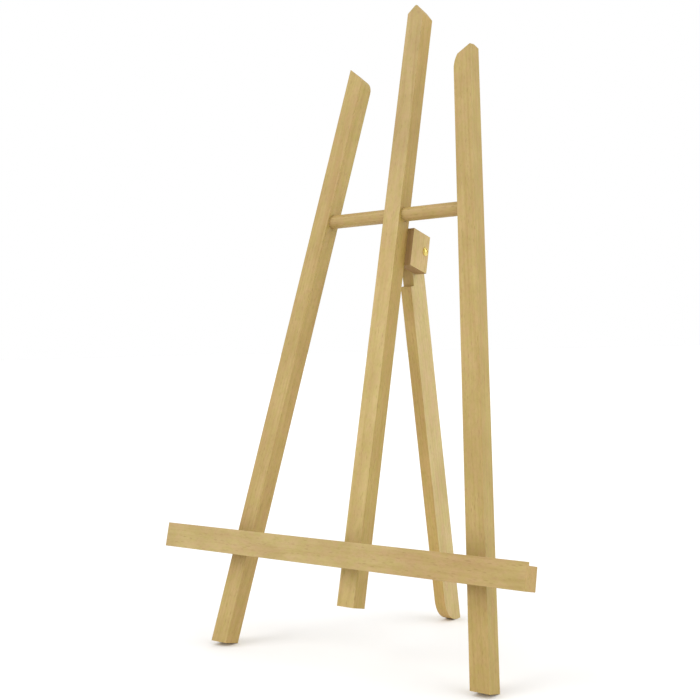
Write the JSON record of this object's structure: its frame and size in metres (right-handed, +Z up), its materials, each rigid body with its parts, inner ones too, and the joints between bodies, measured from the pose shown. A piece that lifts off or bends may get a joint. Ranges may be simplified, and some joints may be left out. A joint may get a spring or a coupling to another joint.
{
  "type": "plate display stand",
  "caption": "Tabletop A-frame wooden stand that shows a plate or book on a lipped ledge, with a rear leg that folds flat on a brass pivot screw.",
  "frame": {"origin": "on the table, in the middle of the stand's bounding box; the middle of the two front legs is 12.3 mm to the right of it", "axes": "+Z up, the front faces -Y, +X is to the right as seen from the front"},
  "size_m": [0.3494, 0.1854, 0.5545],
  "materials": {
    "beech": "planed and sanded light beech, thin satin lacquer, sharp arrises",
    "beech_dowel": "turned light beech dowel, sanded",
    "brass": "bright polished brass",
    "zinc_steel": "bright zinc-plated steel"
  },
  "bodies": {
    "frame": {"left_leg": "beech", "right_leg": "beech", "centre_mast": "beech", "crossbar_dowel": "beech_dowel", "display_ledge": "beech", "hinge_block": "beech", "pivot_screw": "brass", "ledge_screw_left": "zinc_steel", "ledge_screw_centre": "zinc_steel", "ledge_screw_right": "zinc_steel", "block_screw_lower": "zinc_steel", "block_screw_upper": "zinc_steel"},
    "rear_leg": {"rear_leg": "beech"}
  },
  "joints": [
    {"name": "rear_leg_fold", "type": "hinge", "parent": "frame", "child": "rear_leg", "pos_m": [0.0123, 0.02763, 0.33355], "axis": [-1, 0, 0], "range_deg": [0, 24.5]}
  ]
}
